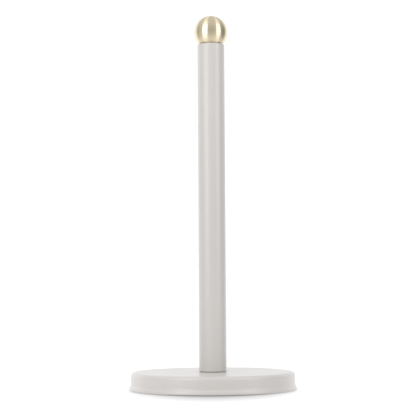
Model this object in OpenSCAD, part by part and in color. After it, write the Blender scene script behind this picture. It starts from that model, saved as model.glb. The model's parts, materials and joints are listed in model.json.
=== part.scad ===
// Countertop stand for a roll of paper towels: a weighted round base, one upright pole
// and a turned ball knob that screws onto the pole's top end.
// Millimetres, +Z up. The origin is on the table, on the pole's axis.

/* [Base] */
// Diameter over the hem, where the base is widest
base_d = 152.4; // [120:0.1:200]
// Height of the base cover, from its hem to its flat top
cover_h = 16; // [15.1:0.1:24]
// Thickness of the pressed sheet of the cover
sheet_t = 1; // [0.8:0.1:1.4]
// Outer radius of the rounded edge between the cover's top and its wall
shoulder_r = 3.2; // [2:0.1:4.4]
// How far the hem stands out from the wall
hem_flare = 1.5; // [0.8:0.1:2]
// Height over which the wall flares out to the hem
hem_rise = 4.5; // [3.5:0.1:5.5]
// Height of the straight end of the hem, below its widest point
hem_end = 0.9; // [0.8:0.1:1.4]

/* [Weight and underside] */
// Gap all round between the cover's wall and what it encloses
wall_gap = 0.7; // [0.3:0.1:2]
// How much rounder the weight's top edge is than the inside of the cover's shoulder
weight_edge_clear = 1.2; // [0.2:0.1:2]
// Thickness of the weight's web, which the pole screw clamps
web_t = 3; // [2.5:0.1:3.5]
// Thickness of the bottom plate
plate_t = 1.5; // [1.3:0.1:2.5]
// Diameter of the plate's access hole for the pole screw
access_d = 34; // [28:0.5:44]
// Thickness of the non-slip ring
pad_t = 2.5; // [2:0.1:3]
// How far the non-slip ring holds the hem off the table
hem_lift = 0.6; // [0.6:0.1:1.6]
// Width of the plate's rim that the non-slip ring leaves bare
pad_margin = 4; // [2:0.5:10]
// Inner diameter of the non-slip ring
pad_in_d = 84; // [70:0.5:90]
// Size of the bevel on its lower edges
pad_edge = 0.4; // [0.2:0.1:0.8]

/* [Plate screws] */
// Number of flat-head screws in the bottom plate
plate_screws = 3; // [3:1:3]
// Diameter of the circle that they lie on
plate_screw_pcd = 62; // [54:0.5:64]
// Thread diameter of a plate screw
plate_screw_d = 3; // [2.5:0.5:3]
// Diameter of its flat head
plate_head_d = 5.5; // [5:0.1:5.6]
// Length of each slot of its cross recess
cross_l = 3; // [2:0.1:3.4]
// Length of a plate screw, with its head
plate_screw_l = 8; // [6:0.5:8]

/* [Pole] */
// Length of the upright tube
pole_l = 300; // [220:1:380]
// Outer diameter of the tube
pole_d = 25; // [20:0.5:30]
// Wall thickness of the tube
pole_wall = 1.5; // [1.2:0.1:2]
// Radius of the rounded outer edge at the top of the tube
pole_edge_r = 1; // [0.5:0.1:1]
// Radius of the rounded outer edge at its foot
foot_edge_r = 0.4; // [0.2:0.1:1]
// Length of the threaded plug in the tube's foot
lower_plug_l = 20; // [18:0.5:40]
// Length of the threaded plug in the tube's top
upper_plug_l = 14; // [12.5:0.5:30]
// Thickness of the ring under the pole's foot
gasket_t = 0.5; // [0.5:0.1:1.5]
// How far that ring's edge is set in from the pole's side
gasket_inset = 1.3; // [0.8:0.1:2]

/* [Pole screw] */
// Thread diameter of the pole screw
pole_screw_d = 8; // [6:1:8]
// Length of the pole screw under its head
pole_screw_l = 25; // [22:0.5:26]
// Diameter of its button head
pole_head_d = 14; // [12:0.5:16]
// Height of its button head
pole_head_h = 4.4; // [4:0.1:4.8]
// Width across flats of its hex socket
pole_hex = 5; // [4:0.5:5.5]
// Outer diameter of the flat washer
flat_washer_d = 20; // [17:0.5:22]
// Thickness of the flat washer
flat_washer_t = 1.6; // [1:0.1:1.8]
// Thickness of the split lock washer
spring_washer_t = 2; // [1.2:0.1:2.2]

/* [Knob] */
// Diameter of the ball knob
knob_d = 31; // [30:0.5:38]
// How far the knob's flat edge is set in from the flat end of the tube
knob_inset = 0.8; // [0.2:0.1:1]
// Thread diameter of the knob's stud
stud_d = 6; // [5:0.5:8]
// Length of the stud that screws into the pole
stud_out = 10.5; // [8:0.5:12]
// Length of the stud that is fixed in the knob
stud_in = 11; // [8:0.5:12]
// Outer diameter of the washer under the knob
knob_washer_d = 14; // [12:0.5:15]
// Thickness of the washer under the knob
knob_washer_t = 1; // [0.6:0.1:1.5]

/* [Fits] */
// Radial clearance between a thread and its hole, drawn as plain cylinders
thread_clear = 0.05; // [0.02:0.01:0.1]
// Radial clearance between a screw and a hole that it passes through
pass_clear = 0.4; // [0.2:0.05:0.6]
// Radial clearance of a washer on its screw
washer_clear = 0.2; // [0.1:0.05:0.3]
// Radial clearance of the knob's washer on the stud
stud_clear = 0.1; // [0.05:0.01:0.2]
// Clearance between a flat head and its countersink
sink_clear = 0.1; // [0.05:0.01:0.2]
// Gap left beyond the end of a screw in a blind hole
blind_gap = 1; // [0.5:0.1:1.5]
// Radial room around the flat washer in the weight's counterbore
washer_room = 2; // [1:0.1:3]
// Radial room around the knob's washer in the knob's recess
recess_room = 0.2; // [0.1:0.05:0.4]

/* [Hidden] */
$fn = 128;

// Cuts run this far past a face, so that no face is left by chance
over = 1;

// Heights, from the table up
plate_z = pad_t;
weight_z = plate_z + plate_t;
hem_z = hem_lift;
base_top_z = hem_z + cover_h;
weight_top_z = base_top_z - sheet_t;
web_z = weight_top_z - web_t;
pole_z = base_top_z + gasket_t;
pole_top_z = pole_z + pole_l;

// The cover's outline: flat top, shoulder, upright wall, S-shaped flare, hem
hem_r = base_d / 2;
wall_r = hem_r - hem_flare;
shoulder_x = wall_r - shoulder_r;
shoulder_z = base_top_z - shoulder_r;
lip_z = hem_z + hem_end;
flare_z = lip_z + hem_rise;
// The two arcs of the flare share this sum of radii and meet at one tangent
flare_sum = (hem_flare * hem_flare + hem_rise * hem_rise) / (2 * hem_flare);
flare_share = 0.4;
hollow_r = flare_sum * flare_share;
bulge_r = flare_sum - hollow_r;
hollow_x = wall_r + hollow_r;
bulge_x = hem_r - bulge_r;

// What the cover encloses
inside_r = wall_r - sheet_t - wall_gap;
weight_edge_r = shoulder_r - sheet_t + weight_edge_clear;
counterbore_r = flat_washer_d / 2 + washer_room;
pad_r = inside_r - pad_margin;
pad_in_r = pad_in_d / 2;

cross_w = 0.7;
cross_h = 0.9;

// Pole screw, from its washers down
flat_washer_z = web_z - flat_washer_t;
spring_washer_z = flat_washer_z - spring_washer_t;
pole_head_r = pole_head_d / 2;
pole_dome_r = (pole_head_r * pole_head_r + pole_head_h * pole_head_h) / (2 * pole_head_h);
hex_depth = 2.6;
spring_washer_w = 3;
spring_washer_split = 1.6;

// Knob: its flat matches the flat end of the tube
knob_r = knob_d / 2;
knob_flat_r = pole_d / 2 - pole_edge_r - knob_inset;
knob_z = pole_top_z + sqrt(knob_r * knob_r - knob_flat_r * knob_flat_r);
thread_edge = 0.5;

// Region inside the cover's outer surface, or inside a surface parallel to it that lies
// "inset" further in. It reaches down to the height "low".
module cover_region(inset, low) {
    hollow = hollow_r + inset;
    bulge = bulge_r - inset;
    // Where the two arcs of the flare meet on this surface
    join_z = flare_z - hollow * hem_rise / flare_sum;
    translate([0, low]) square([shoulder_x, base_top_z - inset - low]);
    translate([0, join_z]) square([wall_r - inset, shoulder_z - join_z]);
    translate([shoulder_x, shoulder_z]) circle(shoulder_r - inset);
    difference() {
        translate([0, join_z]) square([hollow_x, flare_z - join_z]);
        translate([hollow_x, flare_z]) circle(hollow);
    }
    intersection() {
        translate([bulge_x, lip_z]) circle(bulge);
        translate([0, lip_z]) square([hem_r, join_z - lip_z]);
    }
    translate([0, low]) square([hem_r - inset, lip_z - low]);
    translate([0, low]) square([bulge_x, join_z - low]);
}

// What a rounding of radius "edge" takes from the outer corner at [x, z].
// "side" is 1 for an upper corner and -1 for a lower one.
module corner_waste(x, z, edge, side) {
    difference() {
        translate([x - edge, side > 0 ? z - edge : z - over])
            square([edge + over, edge + over]);
        translate([x - edge, z - side * edge]) circle(edge);
    }
}

// Upright cylinder that starts at height z
module rod(r, z, h) {
    translate([0, 0, z]) cylinder(r = r, h = h);
}

// Flat ring that starts at height z
module ring(r_in, r_out, z, h) {
    difference() {
        rod(r_out, z, h);
        rod(r_in, z - over, h + 2 * over);
    }
}

// Copies its children to plate screw number i
module at_plate_screw(i) {
    rotate([0, 0, 90 + i * 360 / plate_screws])
        translate([plate_screw_pcd / 2, 0, 0])
            children();
}

// Cone of a flat head, which widens downwards to radius r at the plate's lower face
module flat_head(r, r_end) {
    translate([0, 0, plate_z]) cylinder(r1 = r, r2 = r_end, h = r - r_end);
}

// Pressed sheet cover with a flared hem and a centre hole for the pole screw
module base_cover() {
    end_r = sheet_t / 2;
    color("gainsboro") rotate_extrude() {
        difference() {
            cover_region(0, hem_z + end_r);
            cover_region(sheet_t, hem_z - over);
            translate([0, hem_z]) square([pole_screw_d / 2 + pass_clear, cover_h + over]);
        }
        translate([hem_r - end_r, hem_z + end_r]) circle(end_r);
    }
}

// Cast disc: counterbored for the screw head, its web clamped under the cover
module ballast_weight() {
    color("dimgray") difference() {
        rotate_extrude() difference() {
            translate([0, weight_z]) square([inside_r, weight_top_z - weight_z]);
            corner_waste(inside_r, weight_top_z, weight_edge_r, 1);
            translate([0, weight_z - over]) square([counterbore_r, web_z - weight_z + over]);
            translate([0, web_z - over]) square([pole_screw_d / 2 + pass_clear, web_t + 2 * over]);
        }
        for (i = [0 : plate_screws - 1]) at_plate_screw(i) {
            rod(plate_screw_d / 2 + thread_clear, weight_z - over,
                over + plate_screw_l - plate_t + blind_gap);
        }
    }
}

// Disc that closes the base, with an access hole and countersunk screw holes
module bottom_plate() {
    hole_r = plate_screw_d / 2 + sink_clear;
    color("silver") difference() {
        rod(inside_r, plate_z, plate_t);
        rod(access_d / 2, plate_z - over, plate_t + 2 * over);
        for (i = [0 : plate_screws - 1]) at_plate_screw(i) {
            rod(hole_r, plate_z - over, plate_t + 2 * over);
            flat_head(plate_head_d / 2 + sink_clear, hole_r);
        }
    }
}

// Flat-head screw number i, with a cross recess
module plate_screw(i) {
    color("lightgray") at_plate_screw(i) difference() {
        union() {
            flat_head(plate_head_d / 2, plate_screw_d / 2);
            rod(plate_screw_d / 2, plate_z, plate_screw_l);
        }
        for (turn = [0, 90]) rotate([0, 0, turn])
            translate([-cross_l / 2, -cross_w / 2, plate_z - over])
                cube([cross_l, cross_w, cross_h + over]);
    }
}

// Non-slip ring, with its lower edges eased
module non_slip_pad() {
    color("whitesmoke") rotate_extrude() polygon([
        [pad_in_r + pad_edge, 0],
        [pad_r - pad_edge, 0],
        [pad_r, pad_edge],
        [pad_r, pad_t],
        [pad_in_r, pad_t],
        [pad_in_r, pad_edge]
    ]);
}

// Button-head screw, head down, with a hex socket
module pole_screw() {
    shank_r = pole_screw_d / 2;
    color("lightgray") difference() {
        union() {
            rotate_extrude() intersection() {
                translate([0, spring_washer_z - pole_head_h + pole_dome_r]) circle(pole_dome_r);
                translate([0, spring_washer_z - pole_head_h]) square([pole_head_r, pole_head_h]);
            }
            rotate_extrude() polygon([
                [0, spring_washer_z - over],
                [shank_r, spring_washer_z - over],
                [shank_r, spring_washer_z + pole_screw_l - thread_edge],
                [shank_r - thread_edge, spring_washer_z + pole_screw_l],
                [0, spring_washer_z + pole_screw_l]
            ]);
        }
        translate([0, 0, spring_washer_z - pole_head_h - over])
            cylinder(r = pole_hex / sqrt(3), h = hex_depth + over, $fn = 6);
    }
}

// Lock washer, split on one side
module spring_washer() {
    r_in = pole_screw_d / 2 + washer_clear;
    color("silver") difference() {
        ring(r_in, r_in + spring_washer_w, spring_washer_z, spring_washer_t);
        rotate([0, 0, 30]) translate([0, -spring_washer_split / 2, spring_washer_z - over])
            cube([r_in + spring_washer_w + over, spring_washer_split, spring_washer_t + 2 * over]);
    }
}

// Wide washer that spreads the screw's load over the web
module flat_washer() {
    color("silver")
        ring(pole_screw_d / 2 + washer_clear, flat_washer_d / 2, flat_washer_z, flat_washer_t);
}

// Ring between the pole's foot and the painted cover
module foot_gasket() {
    color("gray") ring(pole_screw_d / 2 + pass_clear, pole_d / 2 - gasket_inset, base_top_z, gasket_t);
}

// Upright tube with rounded ends
module pole_tube() {
    color("gainsboro") rotate_extrude() difference() {
        translate([pole_d / 2 - pole_wall, pole_z]) square([pole_wall, pole_l]);
        corner_waste(pole_d / 2, pole_z, foot_edge_r, -1);
        corner_waste(pole_d / 2, pole_top_z, pole_edge_r, 1);
    }
}

// Threaded plug fixed flush in the foot of the tube
module lower_plug() {
    color("silver")
        ring(pole_screw_d / 2 + thread_clear, pole_d / 2 - pole_wall, pole_z, lower_plug_l);
}

// Threaded plug fixed flush in the top of the tube
module upper_plug() {
    color("silver")
        ring(stud_d / 2 + thread_clear, pole_d / 2 - pole_wall, pole_top_z - upper_plug_l, upper_plug_l);
}

// Turned ball with a flat seat, a recess for its washer and a blind hole for its stud
module knob() {
    color("burlywood") rotate_extrude() difference() {
        translate([0, knob_z]) circle(knob_r);
        translate([-knob_r - over, pole_top_z - knob_r]) square([knob_d + 2 * over, knob_r]);
        translate([-knob_r - over, pole_top_z - over]) square([knob_r + over, knob_d + 2 * over]);
        translate([0, pole_top_z - over])
            square([knob_washer_d / 2 + recess_room, knob_washer_t + over]);
        translate([0, pole_top_z - over]) square([stud_d / 2, stud_in + blind_gap + over]);
    }
}

// Stud fixed in the knob, with eased ends
module knob_stud() {
    low = pole_top_z - stud_out;
    high = pole_top_z + stud_in;
    r = stud_d / 2;
    color("silver") rotate_extrude() polygon([
        [0, low],
        [r - thread_edge, low],
        [r, low + thread_edge],
        [r, high - thread_edge],
        [r - thread_edge, high],
        [0, high]
    ]);
}

// Washer that rides up and down with the knob but does not turn with it
module knob_washer() {
    color("white") ring(stud_d / 2 + stud_clear, knob_washer_d / 2, pole_top_z, knob_washer_t);
}

base_cover();
ballast_weight();
bottom_plate();
plate_screw(0);  // plate_screw_1
plate_screw(1);  // plate_screw_2
plate_screw(2);  // plate_screw_3
non_slip_pad();
pole_screw();
spring_washer();
flat_washer();
foot_gasket();
pole_tube();
lower_plug();
upper_plug();
knob();
knob_stud();
knob_washer();
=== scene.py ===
"""Looks of a countertop paper towel holder: painted round base and pole, brushed ball knob.

Lengths are in metres. +Z is up, the pole's axis is the Z axis, and the camera stands in front, at -Y.
"""

import json
import math

import bmesh
import bpy
from mathutils import Matrix, Vector


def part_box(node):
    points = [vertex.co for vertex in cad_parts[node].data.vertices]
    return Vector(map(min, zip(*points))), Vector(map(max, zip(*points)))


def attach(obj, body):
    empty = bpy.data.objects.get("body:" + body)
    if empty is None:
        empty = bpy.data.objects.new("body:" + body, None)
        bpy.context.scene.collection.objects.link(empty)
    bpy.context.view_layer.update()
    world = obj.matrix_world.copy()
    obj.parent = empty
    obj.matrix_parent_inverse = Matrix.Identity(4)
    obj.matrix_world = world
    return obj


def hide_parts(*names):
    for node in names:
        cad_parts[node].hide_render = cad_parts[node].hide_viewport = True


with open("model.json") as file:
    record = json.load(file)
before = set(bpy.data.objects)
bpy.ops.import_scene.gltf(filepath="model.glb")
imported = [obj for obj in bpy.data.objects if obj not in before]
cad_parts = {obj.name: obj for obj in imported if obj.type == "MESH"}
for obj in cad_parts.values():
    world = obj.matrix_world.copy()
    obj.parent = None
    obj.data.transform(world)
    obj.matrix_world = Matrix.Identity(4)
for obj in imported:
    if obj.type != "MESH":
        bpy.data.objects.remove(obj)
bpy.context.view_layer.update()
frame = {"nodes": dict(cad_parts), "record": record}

RECORD = frame["record"]
BODY = {node: body for body, nodes in RECORD["behaviour"]["bodies"].items() for node in nodes}
SLOT = {part["node"]: part["material_slot"] for part in RECORD["subparts"]}

MM = 0.001
TURN = 2 * math.pi
AXIS = 1e-9
WELD = 2e-8
CREASE = math.radians(32)

# Points round a large piece, a pole-sized piece and a thread
WIDE = 256
ROUND = 160
FINE = 96
ARC_STEP = math.radians(7)
BALL_STEP = math.radians(2.5)

# Cover: sheet, shoulder, S-shaped flare and hem
SHEET = 1.0 * MM
SHOULDER_R = 3.2 * MM
HEM_FLARE = 1.5 * MM
HEM_RISE = 4.5 * MM
HEM_END = 0.9 * MM
HOLLOW_SHARE = 0.4
COVER_HOLE_R = 4.4 * MM

# Pole, and the rounding of small hard and soft edges
TUBE_WALL = 1.5 * MM
TUBE_TOP_EDGE = 1.0 * MM
TUBE_FOOT_EDGE = 0.4 * MM
HARD_EDGE = 0.15 * MM
SOFT_EDGE = 0.2 * MM
PAD_EDGE = 0.5 * MM
PAD_HOLE_R = 42.0 * MM

# Metric threads: nominal radius and pitch
M3 = (1.5 * MM, 0.5 * MM)
M6 = (3.0 * MM, 1.0 * MM)
M8 = (4.0 * MM, 1.25 * MM)
THREAD_GAP = 0.05 * MM
# Room between a washer's hole and the thread that runs through it
POLE_WASHER_GAP = 0.2 * MM
KNOB_WASHER_GAP = 0.1 * MM
# A thread's cut, as (place along the pitch, share of the full depth), crest first
THREAD_CUT = [(0.0625, 0.0), (0.4165, 1.0), (0.5, 1.04), (0.5835, 1.0), (0.9375, 0.0)]
# Full depths as shares of the pitch, and the depth of an end's bevel as a share of the outer one
OUTER_DEPTH = 0.6134
INNER_DEPTH = 0.5413
END_DEPTH = 1.1

# Ball knob: its washer's recess, its blind hole and the rounding round its seat
RECESS_R = 7.2 * MM
RECESS_H = 1.0 * MM
BLIND_R = 3.02 * MM
BLIND_H = 12.0 * MM
DRILL_HALF_ANGLE = math.radians(59)
SEAT_EDGE = 0.25 * MM

# Pole screw: button head, and hexagon socket with the cone of its drill
HEAD_H = 4.4 * MM
HEAD_EDGE = 0.35 * MM
BROW_BEVEL = 0.12 * MM
HEX_R = 5.0 * MM / math.sqrt(3)
HEX_DEPTH = 2.6 * MM
HEX_CONE = 0.6 * MM
HEX_CONE_SHARE = 0.3
POLE_SCREW_NECK = 0.6 * MM

# Plate screws: rim of the flat head, and cross recess as half length and half width of its arms
RIM_EDGE = 0.05 * MM
RIM_H = 0.1 * MM
CROSS_DEPTH = 1.0 * MM
CROSS_MOUTH = (1.62 * MM, 0.37 * MM)
CROSS_END = (0.62 * MM, 0.22 * MM)
PLATE_SCREW_NECK = 0.3 * MM

# Room that a cutter leaves outside the face it opens in
HEX_START = 1.0 * MM
CROSS_START = 0.2 * MM


# ---------------------------------------------------------------- outlines


def arc(centre, radius, start, end, step=ARC_STEP):
    """Points of an arc in the (r, z) plane, from angle start to angle end."""
    steps = max(2, math.ceil(abs(end - start) / step))
    turns = [start + (end - start) * i / steps for i in range(steps + 1)]
    return [(centre[0] + radius * math.cos(a), centre[1] + radius * math.sin(a)) for a in turns]


def eased(corners):
    """Closed (r, z) outline of corners given as (r, z, radius), each rounded by its radius."""
    outline = []
    for i, (r, z, ease) in enumerate(corners):
        if ease == 0:
            outline.append((r, z))
            continue
        here = Vector((r, z))
        to_last = (Vector(corners[i - 1][:2]) - here).normalized()
        to_next = (Vector(corners[(i + 1) % len(corners)][:2]) - here).normalized()
        half = to_last.angle(to_next) / 2
        centre = here + (to_last + to_next).normalized() * ease / math.sin(half)
        start = here + to_last * ease / math.tan(half) - centre
        end = here + to_next * ease / math.tan(half) - centre
        first = math.atan2(start.y, start.x)
        sweep = math.atan2(start.x * end.y - start.y * end.x, start.dot(end))
        outline += arc(centre, ease, first, first + sweep)
    return outline


def cover_side(inset, hem_r, low, top):
    """Cover surface that lies inset inside the outer one, from the top's edge down to the hem."""
    wall_r = hem_r - HEM_FLARE
    flare_sum = (HEM_FLARE ** 2 + HEM_RISE ** 2) / (2 * HEM_FLARE)
    hollow_r = flare_sum * HOLLOW_SHARE
    bulge_r = flare_sum - hollow_r
    lip = low + HEM_END
    turn = math.asin(HEM_RISE / flare_sum)
    side = arc((wall_r - SHOULDER_R, top - SHOULDER_R), SHOULDER_R - inset, math.pi / 2, 0)
    side += arc((wall_r + hollow_r, lip + HEM_RISE), hollow_r + inset, math.pi, math.pi + turn)
    side += arc((hem_r - bulge_r, lip), bulge_r - inset, turn, 0)[1:]
    return side


def cover_outline():
    """Pressed sheet: outer surface, rounded end of the hem, inner surface, centre hole."""
    low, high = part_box("base_cover")
    end = arc((high.x - SHEET / 2, low.z + SHEET / 2), SHEET / 2, 0, -math.pi)
    outer = cover_side(0, high.x, low.z, high.z)
    inner = cover_side(SHEET, high.x, low.z, high.z)
    return [(COVER_HOLE_R, high.z)] + outer + end + inner[::-1] + [(COVER_HOLE_R, high.z - SHEET)]


def ring_outline(node, hole_r, ease, low_ease=None):
    """Flat ring that fills a CAD node's box, with eased edges."""
    low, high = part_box(node)
    foot = ease if low_ease is None else low_ease
    return eased([
        (hole_r, low.z, foot),
        (high.x, low.z, foot),
        (high.x, high.z, ease),
        (hole_r, high.z, ease),
    ])


def tube_outline():
    """Pole: a tube with rounded outer edges."""
    low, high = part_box("pole_tube")
    inner = high.x - TUBE_WALL
    return eased([
        (inner, low.z, 0),
        (high.x, low.z, TUBE_FOOT_EDGE),
        (high.x, high.z, TUBE_TOP_EDGE),
        (inner, high.z, 0),
    ])


def ball_outline():
    """Ball with a flat seat, a recess for its washer and a drilled blind hole."""
    low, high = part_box("knob")
    radius = high.x
    centre = high.z - radius
    edge_z = low.z + SEAT_EDGE
    edge_r = math.sqrt((radius - SEAT_EDGE) ** 2 - (centre - edge_z) ** 2)
    rim = math.atan2(edge_z - centre, edge_r)
    seat = [(RECESS_R, low.z)] + arc((edge_r, edge_z), SEAT_EDGE, -math.pi / 2, rim)
    side = arc((0, centre), radius, rim, math.pi / 2, BALL_STEP)
    hole = [
        (0, low.z + BLIND_H + BLIND_R / math.tan(DRILL_HALF_ANGLE)),
        (BLIND_R, low.z + BLIND_H),
        (BLIND_R, low.z + RECESS_H),
        (RECESS_R, low.z + RECESS_H),
    ]
    return hole + seat + side[1:-1] + [(0, high.z)]


# ---------------------------------------------------------------- meshes


def shade(mesh):
    """Smooth shading with sharp creases."""
    mesh.shade_smooth()
    mesh.set_sharp_from_angle(angle=CREASE)


def link(name, data):
    """New object in the scene."""
    made = bpy.data.objects.new(name, data)
    bpy.context.scene.collection.objects.link(made)
    return made


def object_of(name, build):
    """Object whose welded mesh build(bm) fills."""
    bm = bmesh.new()
    build(bm)
    bmesh.ops.remove_doubles(bm, verts=bm.verts, dist=WELD)
    bmesh.ops.dissolve_degenerate(bm, edges=bm.edges, dist=WELD)
    bmesh.ops.recalc_face_normals(bm, faces=bm.faces)
    mesh = bpy.data.meshes.new(name)
    bm.to_mesh(mesh)
    bm.free()
    shade(mesh)
    return link(name, mesh)


def add_face(bm, corners):
    """Face over its distinct corners, or none if fewer than three are left."""
    distinct = list(dict.fromkeys(corners))
    if len(distinct) > 2:
        bm.faces.new(distinct)


def add_ring(bm, r, z, count):
    """Ring of vertices about Z. On the axis it is one vertex, repeated."""
    if r < AXIS:
        return [bm.verts.new((0, 0, z))] * count
    turns = [TURN * i / count for i in range(count)]
    return [bm.verts.new((r * math.cos(turn), r * math.sin(turn), z)) for turn in turns]


def add_band(bm, near, far):
    """Faces between two rings with equal counts."""
    for i in range(len(near)):
        j = (i + 1) % len(near)
        add_face(bm, (near[i], near[j], far[j], far[i]))


def add_rings(bm, outline, count, closed):
    """Skin of revolution about Z through the (r, z) outline."""
    rings = [add_ring(bm, r, z, count) for r, z in outline]
    following = rings[1:] + rings[:1] if closed else rings[1:]
    for near, far in zip(rings, following):
        add_band(bm, near, far)


def lathe(name, outline, count=ROUND):
    """Closed body of revolution about Z from its closed (r, z) outline."""
    return object_of(name, lambda bm: add_rings(bm, outline, count, True))


def thread_cut(place):
    """Share of a thread's depth that is cut away at a place along its pitch, crest at 0."""
    place -= math.floor(place)
    stops = [(THREAD_CUT[-1][0] - 1, 0.0)] + THREAD_CUT + [(THREAD_CUT[0][0] + 1, 0.0)]
    for (start, low), (end, high) in zip(stops, stops[1:]):
        if place <= end:
            return low + (high - low) * (place - start) / (end - start)
    return 0.0


def add_thread(bm, pitch, radius_at, low, high, count=FINE):
    """Right-hand helical skin between two heights. radius_at(cut, z) gives its radius.

    Its rows follow the helix, so that crests and roots are clean edges. Returns its end rings.
    """
    rows = len(THREAD_CUT)
    first = math.floor(low / pitch) - 2
    last = math.ceil(high / pitch) + 2
    total = (last - first) * rows
    columns = []
    for i in range(count):
        angle = TURN * i / count
        column = []
        reached = None
        for q in range(total):
            exact = pitch * (first + q // rows + THREAD_CUT[q % rows][0] + i / count)
            z = min(max(exact, low), high)
            if z != reached:
                r = radius_at(thread_cut(z / pitch - i / count), z)
                spot = bm.verts.new((r * math.cos(angle), r * math.sin(angle), z))
                reached = z
            column.append(spot)
        columns.append(column)
    for i in range(count):
        here = columns[i]
        beside = columns[(i + 1) % count]
        shift = rows if i == count - 1 else 0
        for q in range(total - 1):
            low_q = min(q + shift, total - 1)
            high_q = min(q + 1 + shift, total - 1)
            add_face(bm, (here[q], beside[low_q], beside[high_q], here[q + 1]))
    return [column[0] for column in columns], [column[-1] for column in columns]


def join_ring(bm, ring, outline):
    """Skin from a ring of vertices through the rings of an (r, z) outline. Returns the last ring."""
    near = ring
    for r, z in outline:
        far = add_ring(bm, r, z, len(ring))
        add_band(bm, near, far)
        near = far
    return near


def outer_thread(size, low, high, bevel_low):
    """Radius of an outer thread whose high end, and low end if asked, is bevelled past its root."""
    radius, pitch = size
    depth = OUTER_DEPTH * pitch
    least = radius - END_DEPTH * depth

    def radius_at(cut, z):
        limit = least + (high - z)
        if bevel_low:
            limit = min(limit, least + (z - low))
        return min(radius - depth * cut, limit)

    return radius_at


def inner_thread(size, low, high):
    """Radius of an inner thread with countersunk mouths, clear of the outer thread in it."""
    radius, pitch = size
    crest = radius - INNER_DEPTH * pitch

    def radius_at(cut, z):
        mouth = radius + 2 * THREAD_GAP - min(z - low, high - z)
        return max(crest, radius - OUTER_DEPTH * pitch * cut, mouth) + THREAD_GAP

    return radius_at


def screw(name, size, head, low, high):
    """Thread from low to high. Its low end carries the (r, z) outline of a head, or is bevelled."""
    def build(bm):
        radius_at = outer_thread(size, low, high, bevel_low=not head)
        foot, tip = add_thread(bm, size[1], radius_at, low, high)
        join_ring(bm, tip, [(0, high)])
        join_ring(bm, foot, head or [(0, low)])

    return object_of(name, build)


def threaded_plug(name, node, size):
    """Plug that fills a CAD node's box, with a thread cut through it."""
    low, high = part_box(node)
    r = high.x

    def build(bm):
        radius_at = inner_thread(size, low.z, high.z)
        foot, top = add_thread(bm, size[1], radius_at, low.z, high.z)
        edge = [(r, low.z, HARD_EDGE), (r, high.z, HARD_EDGE)]
        side = eased([(size[0], low.z, 0)] + edge + [(size[0], high.z, 0)])[1:-1]
        add_band(bm, join_ring(bm, foot, side), top)

    return object_of(name, build)


def prism(name, sections):
    """Closed prism through equal sections, each a list of points."""
    def build(bm):
        rings = [[bm.verts.new(point) for point in section] for section in sections]
        for near, far in zip(rings, rings[1:]):
            add_band(bm, near, far)
        add_face(bm, rings[0])
        add_face(bm, rings[-1])

    return object_of(name, build)


def carve(piece, cutter):
    """Cuts a closed cutter out of a piece and removes the cutter."""
    cut = piece.modifiers.new("cut", "BOOLEAN")
    cut.operation = "DIFFERENCE"
    cut.solver = "EXACT"
    cut.object = cutter
    bpy.context.view_layer.update()
    shape = piece.evaluated_get(bpy.context.evaluated_depsgraph_get())
    carved = bpy.data.meshes.new_from_object(shape)
    piece.modifiers.clear()
    old = piece.data
    carved.name = old.name + "_carved"
    piece.data = carved
    bpy.data.meshes.remove(old)
    bpy.data.objects.remove(cutter)
    shade(carved)


def hex_socket(z):
    """Cutter for a hexagon socket that opens downwards at height z."""
    def section(at, scale):
        turns = [TURN * i / 6 for i in range(6)]
        return [(HEX_R * scale * math.cos(turn), HEX_R * scale * math.sin(turn), at) for turn in turns]

    end = z + HEX_DEPTH
    sections = [section(z - HEX_START, 1), section(end, 1), section(end + HEX_CONE, HEX_CONE_SHARE)]
    return prism("hex_cutter", sections)


def cross_recess(x, y, z):
    """Cutter for a tapered cross recess that opens downwards at (x, y, z)."""
    def section(at, length, width):
        points = []
        for i in range(4):
            along = Vector((math.cos(TURN * i / 4), math.sin(TURN * i / 4)))
            beside = Vector((-along.y, along.x))
            for a, b in ((width, -width), (length, -width), (length, width)):
                spot = along * a + beside * b
                points.append((x + spot.x, y + spot.y, at))
        return points

    sections = [section(z - CROSS_START, *CROSS_MOUTH), section(z + CROSS_DEPTH, *CROSS_END)]
    return prism("cross_cutter", sections)


def plate_screw(name, node):
    """Flat-head screw with a cross recess, head down."""
    low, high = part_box(node)
    head_r = (high.x - low.x) / 2
    cone = head_r - M3[0]
    centre = (low + high) / 2
    head = [
        (M3[0], low.z + cone),
        (head_r - RIM_H, low.z + RIM_H),
        (head_r, low.z + RIM_EDGE),
        (head_r - RIM_EDGE, low.z),
        (0, low.z),
    ]
    made = screw(name, M3, head, low.z + cone + PLATE_SCREW_NECK, high.z)
    made.data.transform(Matrix.Translation((centre.x, centre.y, 0)))
    carve(made, cross_recess(centre.x, centre.y, low.z))
    return made


def button_screw(name, node):
    """Button-head screw with a hexagon socket, head down."""
    low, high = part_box(node)
    head_r = high.x
    seat = low.z + HEAD_H
    dome_r = (head_r ** 2 + HEAD_H ** 2) / (2 * HEAD_H)
    brow = seat - HEAD_EDGE
    edge = math.sqrt(dome_r ** 2 - (low.z + dome_r - brow) ** 2)
    start = math.atan2(brow - low.z - dome_r, edge)
    dome = arc((0, low.z + dome_r), dome_r, start, -math.pi / 2, ARC_STEP / 2)
    collar = [(M8[0], seat), (head_r - HEAD_EDGE, seat), (edge, seat - BROW_BEVEL)]
    head = collar + dome[:-1] + [(0, low.z)]
    made = screw(name, M8, head, seat + POLE_SCREW_NECK, high.z)
    carve(made, hex_socket(low.z))
    return made


# ---------------------------------------------------------------- node trees


def add_node(tree, kind, inputs=None, **settings):
    """New shader node. Its inputs are given as constants or as the sockets that feed them."""
    made = tree.nodes.new(kind)
    for name, value in settings.items():
        setattr(made, name, value)
    for name, value in (inputs or {}).items():
        if isinstance(value, bpy.types.NodeSocket):
            tree.links.new(value, made.inputs[name])
        else:
            made.inputs[name].default_value = value
    return made


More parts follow.
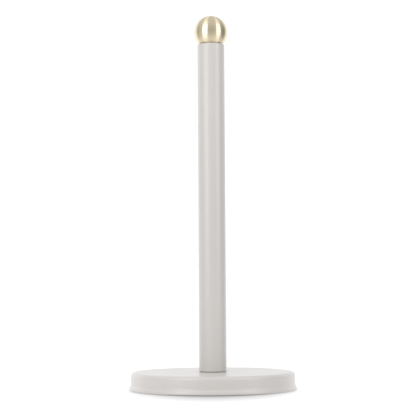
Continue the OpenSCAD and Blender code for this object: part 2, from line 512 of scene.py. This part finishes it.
def maths(tree, operation, *values):
    """Output of a Math node over constants and sockets."""
    return add_node(tree, "ShaderNodeMath", dict(enumerate(values)), operation=operation).outputs[0]


def noise(tree, where, scale, detail=2.0, roughness=0.5):
    """Noise between 0 and 1 whose features are about 1 / scale metres across."""
    inputs = {"Vector": where, "Scale": scale, "Detail": detail, "Roughness": roughness}
    return add_node(tree, "ShaderNodeTexNoise", inputs).outputs["Fac"]


def lines(tree, along, scale, detail=2.0):
    """Noise between 0 and 1 that changes only with the value along."""
    inputs = {"W": along, "Scale": scale, "Detail": detail, "Roughness": 0.6}
    return add_node(tree, "ShaderNodeTexNoise", inputs, noise_dimensions="1D").outputs["Fac"]


def stretched(tree, where, scale):
    """Place scaled differently along each axis."""
    made = add_node(tree, "ShaderNodeVectorMath", {0: where, 1: scale}, operation="MULTIPLY")
    return made.outputs["Vector"]


def remap(tree, value, source, target):
    """A value in the range source mapped to the range target, and held to it."""
    inputs = {"Value": value, "From Min": source[0], "From Max": source[1],
              "To Min": target[0], "To Max": target[1]}
    return add_node(tree, "ShaderNodeMapRange", inputs).outputs["Result"]


def spread(tree, value, low, high):
    """Noise mapped to the range low to high."""
    return remap(tree, value, (0.25, 0.75), (low, high))


def mix(tree, share, first, second):
    """Colour between two, which are constants or sockets, by share."""
    made = add_node(tree, "ShaderNodeMix", {0: share}, data_type="RGBA")
    for socket, colour in zip((made.inputs[6], made.inputs[7]), (first, second)):
        if isinstance(colour, bpy.types.NodeSocket):
            tree.links.new(colour, socket)
        else:
            socket.default_value = (*colour, 1)
    return made.outputs[2]


def bump(tree, height, depth):
    """Normal bent by a height from 0 to 1 that stands for depth metres."""
    inputs = {"Height": height, "Distance": depth, "Strength": 1.0}
    return add_node(tree, "ShaderNodeBump", inputs).outputs["Normal"]


def radius_of(tree, where):
    """Distance from the Z axis, and height."""
    parts = add_node(tree, "ShaderNodeSeparateXYZ", {"Vector": where}).outputs
    squares = [maths(tree, "MULTIPLY", parts[axis], parts[axis]) for axis in "XY"]
    return maths(tree, "SQRT", maths(tree, "ADD", *squares)), parts["Z"]


# ---------------------------------------------------------------- materials


def powder_coat(tree, where):
    """Satin light grey powder coat with fine orange peel."""
    cloud = noise(tree, where, 60.0, 3.0)
    peel = noise(tree, where, 620.0, 2.0, 0.4)
    return {
        "Base Color": mix(tree, cloud, (0.536, 0.514, 0.496), (0.552, 0.530, 0.512)),
        "Roughness": spread(tree, peel, 0.28, 0.31),
        "IOR": 1.5,
        "Normal": bump(tree, peel, 0.006 * MM),
    }


def turned_gold(tree, where):
    """Champagne gold, turned on a lathe: fine lines round the axis stretch reflections upright."""
    low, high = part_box("knob")
    centre = high.z - high.x
    out, up = radius_of(tree, where)
    angle = maths(tree, "ARCTAN2", out, maths(tree, "SUBTRACT", up, centre))
    along = maths(tree, "MULTIPLY", angle, high.x)
    cuts = lines(tree, along, 5000.0, 3.0)
    bands = lines(tree, along, 700.0)
    tangent = add_node(tree, "ShaderNodeTangent", direction_type="RADIAL", axis="Z").outputs["Tangent"]
    return {
        "Base Color": mix(tree, bands, (0.70, 0.61, 0.44), (0.78, 0.69, 0.51)),
        "Metallic": 1.0,
        "Roughness": spread(tree, bands, 0.29, 0.32),
        "Anisotropic": 1.0,
        "Anisotropic Rotation": 0.25,
        "Tangent": tangent,
        "Normal": bump(tree, cuts, 0.002 * MM),
    }


def sand_cast(tree, where):
    """Dull black cast iron with a sand-cast skin."""
    grain = noise(tree, where, 900.0, 4.0, 0.65)
    patch = noise(tree, where, 70.0, 3.0)
    return {
        "Base Color": mix(tree, patch, (0.020, 0.020, 0.021), (0.034, 0.032, 0.031)),
        "Metallic": 0.35,
        "Roughness": spread(tree, grain, 0.50, 0.72),
        "Normal": bump(tree, grain, 0.12 * MM),
    }


def zinc_sheet(tree, where):
    """Zinc-plated sheet with a rolled grain along X and faint passivation clouds."""
    grain = noise(tree, stretched(tree, where, (60.0, 2600.0, 2600.0)), 1.0, 3.0, 0.6)
    cloud = noise(tree, where, 45.0, 4.0, 0.6)
    return {
        "Base Color": mix(tree, cloud, (0.50, 0.52, 0.55), (0.60, 0.60, 0.58)),
        "Metallic": 1.0,
        "Roughness": spread(tree, grain, 0.30, 0.44),
        "Normal": bump(tree, grain, 0.004 * MM),
    }


def zinc_screw(tree, where):
    """Bright zinc plating on small hardware."""
    cloud = noise(tree, where, 320.0, 3.0)
    grain = noise(tree, where, 4200.0, 2.0)
    return {
        "Base Color": mix(tree, cloud, (0.55, 0.57, 0.60), (0.66, 0.66, 0.64)),
        "Metallic": 1.0,
        "Roughness": spread(tree, cloud, 0.22, 0.34),
        "Normal": bump(tree, grain, 0.002 * MM),
    }


def spring_steel(tree, where):
    """Oiled spring steel, darker along its worn scale."""
    scale = noise(tree, where, 500.0, 4.0, 0.6)
    return {
        "Base Color": mix(tree, scale, (0.10, 0.10, 0.11), (0.20, 0.19, 0.19)),
        "Metallic": 1.0,
        "Roughness": spread(tree, scale, 0.28, 0.45),
        "Normal": bump(tree, scale, 0.006 * MM),
    }


def faced_steel(tree, where):
    """Turned steel with facing lines round the pole's axis."""
    out, up = radius_of(tree, where)
    cuts = lines(tree, maths(tree, "ADD", out, up), 7000.0, 3.0)
    return {
        "Base Color": mix(tree, cuts, (0.42, 0.42, 0.43), (0.52, 0.52, 0.53)),
        "Metallic": 1.0,
        "Roughness": spread(tree, cuts, 0.26, 0.40),
        "Normal": bump(tree, cuts, 0.004 * MM),
    }


def foam_rubber(tree, where):
    """Fine-celled grey foam rubber."""
    foam = add_node(tree, "ShaderNodeTexVoronoi", {"Vector": where, "Scale": 1700.0})
    tone = noise(tree, where, 240.0, 3.0)
    return {
        "Base Color": mix(tree, tone, (0.27, 0.27, 0.265), (0.33, 0.33, 0.325)),
        "Roughness": spread(tree, tone, 0.82, 0.95),
        "IOR": 1.45,
        "Normal": bump(tree, foam.outputs["Distance"], 0.06 * MM),
    }


def gasket_rubber(tree, where):
    """Thin warm grey rubber ring."""
    tone = noise(tree, where, 700.0, 3.0)
    return {
        "Base Color": mix(tree, tone, (0.44, 0.43, 0.415), (0.50, 0.49, 0.475)),
        "Roughness": spread(tree, tone, 0.55, 0.70),
        "IOR": 1.5,
        "Normal": bump(tree, tone, 0.01 * MM),
    }


def nylon(tree, where):
    """Natural nylon, slightly waxy."""
    tone = noise(tree, where, 500.0, 3.0)
    return {
        "Base Color": mix(tree, tone, (0.72, 0.70, 0.63), (0.78, 0.76, 0.70)),
        "Roughness": spread(tree, tone, 0.38, 0.48),
        "IOR": 1.53,
        "Normal": bump(tree, tone, 0.004 * MM),
    }


def white_floor(tree, where):
    """White floor with a glow that is painted dimmer in an oval round the base: a painted shadow, so
    that only a short soft shadow shows in front of the base.
    """
    away, _ = radius_of(tree, stretched(tree, where, (1 / SHADOW_X, 1 / SHADOW_Y, 1)))
    return {
        "Base Color": (FLOOR_TONE, FLOOR_TONE, FLOOR_TONE, 1),
        "Roughness": 0.6,
        "Emission Color": (1, 1, 1, 1),
        # Glow held low near the base and raised away from it: a painted shadow on the floor
        "Emission Strength": remap(tree, away, (0.5, 1.0), FLOOR_GLOW),
    }


def material(name, build):
    """Principled material. build(tree, where) gives its inputs; where is the place in metres."""
    made = bpy.data.materials.new(name)
    made.use_nodes = True
    tree = made.node_tree
    tree.nodes.clear()
    where = add_node(tree, "ShaderNodeTexCoord").outputs["Object"]
    shader = add_node(tree, "ShaderNodeBsdfPrincipled", build(tree, where))
    add_node(tree, "ShaderNodeOutputMaterial", {"Surface": shader.outputs["BSDF"]})
    return made


LOOKS = {
    "grey_paint": material("grey_powder_coat", powder_coat),
    "cast_iron": material("sand_cast_iron", sand_cast),
    "zinc_plate": material("zinc_sheet", zinc_sheet),
    "zinc_screw": material("zinc_screw", zinc_screw),
    "spring_steel": material("spring_steel", spring_steel),
    "plug_steel": material("faced_steel", faced_steel),
    "pad_rubber": material("foam_rubber", foam_rubber),
    "gasket_rubber": material("gasket_rubber", gasket_rubber),
    "champagne_gold": material("turned_champagne_gold", turned_gold),
    "nylon": material("natural_nylon", nylon),
}


# ---------------------------------------------------------------- camera, light and floor


# Camera: its place, its turns in radians and its focal length in millimetres
CAMERA_AT = (0, -1.250, 0.0899)
PITCH = 0.0608
YAW = -0.00283
ROLL = -0.0062
SENSOR = 36.0
LENS = 118.1

# Strip lights: distance from the pole, then name, azimuth, low end, high end, width and radiance
STRIP_AWAY = 1.1
STRIPS = [
    ("strip_left_low", -42, 0.0, 0.15, 0.68, 0.94),
    ("strip_left", -42, 0.15, 1.0, 0.68, 3.05),
    ("strip_left_high", -42, 1.0, 1.6, 0.68, 1.30),
    ("strip_right_low", 56, 0.0, 0.15, 0.56, 1.24),
    ("strip_right", 56, 0.15, 1.0, 0.56, 2.70),
    ("strip_right_high", 56, 1.0, 1.6, 0.56, 0.80),
]

# Brightness of the surroundings by azimuth in degrees, 0 in front, then overhead, below and as seen
WORLD_ROUND = [
    (-180, 1.17), (-150, 1.38), (-122, 1.32), (-105, 0.46), (-80, 0.66), (-58, 0.76), (0, 0.45),
    (36, 0.57), (78, 0.42), (95, 0.24), (112, 0.30), (128, 1.20), (150, 1.25), (180, 1.17),
]
WORLD_TOP = 0.92
WORLD_BELOW = 1.52
WORLD_SEEN = 1.1

# Floor: how much it reflects, its glow at the object (held low, a painted shadow) and away from it, and
# its two radii
FLOOR_TONE = 0.35
FLOOR_GLOW = (0.17, 0.63)
TABLE_R = 0.30
SWEEP_R = 8.0
# Half axes of the patch of floor round the object that glows less: a painted shadow
SHADOW_X = 0.082
SHADOW_Y = 0.150


def add_camera():
    """Camera in front of the holder, a little above the base, tilted up."""
    forward = Vector((math.sin(YAW) * math.cos(PITCH), math.cos(YAW) * math.cos(PITCH), math.sin(PITCH)))
    level = Vector((math.cos(YAW), -math.sin(YAW), 0))
    over = level.cross(forward)
    right = math.cos(ROLL) * level + math.sin(ROLL) * over
    up = math.cos(ROLL) * over - math.sin(ROLL) * level
    lens = bpy.data.cameras.new("camera")
    lens.sensor_width = SENSOR
    lens.lens = LENS
    lens.clip_start = 0.01
    lens.clip_end = 50.0
    camera = link("camera", lens)
    turn = Matrix((right, up, -forward)).transposed()
    camera.matrix_world = Matrix.Translation(CAMERA_AT) @ turn.to_4x4()
    bpy.context.scene.camera = camera


def add_strip(name, azimuth, low, high, width, radiance):
    """Upright strip light that faces the pole. Azimuth 0 is in front, and + is to the right."""
    height = high - low
    light = bpy.data.lights.new(name, "AREA")
    light.shape = "RECTANGLE"
    light.size = width
    light.size_y = height
    light.energy = radiance * math.pi * width * height
    made = link(name, light)
    angle = math.radians(azimuth)
    made.location = (STRIP_AWAY * math.sin(angle), -STRIP_AWAY * math.cos(angle), (low + high) / 2)
    made.rotation_euler = (math.pi / 2, 0, angle)
    made.visible_camera = False


def ramp(tree, value, stops):
    """Grey colour ramp through its stops, (position, brightness)."""
    made = add_node(tree, "ShaderNodeValToRGB", {"Fac": value})
    points = made.color_ramp.elements
    while len(points) < len(stops):
        points.new(0.5)
    for point, (position, level) in zip(points, stops):
        point.position = position
        point.color = (level, level, level, 1)
    return made.outputs["Color"]


def add_world():
    """Soft studio surroundings: white behind, dimmer in front, beside and above. Seen as plain white."""
    world = bpy.data.worlds.new("studio")
    bpy.context.scene.world = world
    world.use_nodes = True
    tree = world.node_tree
    tree.nodes.clear()
    where = add_node(tree, "ShaderNodeTexCoord").outputs["Generated"]
    way = add_node(tree, "ShaderNodeSeparateXYZ", {"Vector": where}).outputs
    turned = maths(tree, "ARCTAN2", way["X"], maths(tree, "MULTIPLY", way["Y"], -1.0))
    azimuth = remap(tree, turned, (-math.pi, math.pi), (0, 1))
    around = ramp(tree, azimuth, [(0.5 + angle / 360, level) for angle, level in WORLD_ROUND])
    underneath = remap(tree, way["Z"], (-0.3, -0.75), (0, 1))
    overhead = remap(tree, way["Z"], (0.35, 0.8), (0, 1))
    lit = mix(tree, underneath, around, (WORLD_BELOW, WORLD_BELOW, WORLD_BELOW))
    lit = mix(tree, overhead, lit, (WORLD_TOP, WORLD_TOP, WORLD_TOP))
    seen = add_node(tree, "ShaderNodeLightPath").outputs["Is Camera Ray"]
    shown = mix(tree, seen, lit, (WORLD_SEEN, WORLD_SEEN, WORLD_SEEN))
    back = add_node(tree, "ShaderNodeBackground", {"Color": shown})
    add_node(tree, "ShaderNodeOutputWorld", {"Surface": back.outputs["Background"]})


def add_floor():
    """White floor that glows, with a painted shadow round the base: a table top round the object, whose
    glow also lights the object, and a wide sweep that lights nothing.
    """
    look = material("floor_white", white_floor)
    for name, inner, outer in (("table", 0, TABLE_R), ("sweep", TABLE_R, SWEEP_R)):
        floor = object_of(name, lambda bm: add_rings(bm, [(inner, 0), (outer, 0)], FINE, False))
        floor.data.materials.append(look)
        floor.visible_diffuse = name == "table"
        floor.visible_glossy = name == "table"


add_camera()
add_world()
for strip in STRIPS:
    add_strip(*strip)
add_floor()
bpy.context.scene.view_settings.view_transform = "Standard"


# ---------------------------------------------------------------- pieces


def fit(piece, node):
    """Puts a piece in place of its CAD node, on that node's body, with its slot's material."""
    piece.data.materials.clear()
    piece.data.materials.append(LOOKS[SLOT[node]])
    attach(piece, BODY[node])
    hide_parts(node)


fit(lathe("cover_sheet", cover_outline(), WIDE), "base_cover")
fit(lathe("pole_upright", tube_outline()), "pole_tube")
fit(lathe("ball_knob", ball_outline()), "knob")
pad = ring_outline("non_slip_pad", PAD_HOLE_R, SOFT_EDGE, PAD_EDGE)
fit(lathe("non_slip_ring", pad, WIDE), "non_slip_pad")
gasket = ring_outline("foot_gasket", COVER_HOLE_R, SOFT_EDGE)
fit(lathe("foot_ring", gasket), "foot_gasket")
washer = ring_outline("flat_washer", M8[0] + POLE_WASHER_GAP, HARD_EDGE)
fit(lathe("flat_washer_disc", washer), "flat_washer")
washer = ring_outline("knob_washer", M6[0] + KNOB_WASHER_GAP, HARD_EDGE)
fit(lathe("knob_washer_disc", washer), "knob_washer")
fit(threaded_plug("lower_plug_threaded", "lower_plug", M8), "lower_plug")
fit(threaded_plug("upper_plug_threaded", "upper_plug", M6), "upper_plug")
fit(button_screw("pole_button_screw", "pole_screw"), "pole_screw")
for number in (1, 2, 3):
    fit(plate_screw(f"plate_flat_screw_{number}", f"plate_screw_{number}"), f"plate_screw_{number}")
stud_low, stud_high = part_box("knob_stud")
fit(screw("stud_threaded", M6, None, stud_low.z, stud_high.z), "knob_stud")

for kept in ("ballast_weight", "bottom_plate", "spring_washer"):
    mesh = frame["nodes"][kept].data
    mesh.materials.clear()
    mesh.materials.append(LOOKS[SLOT[kept]])
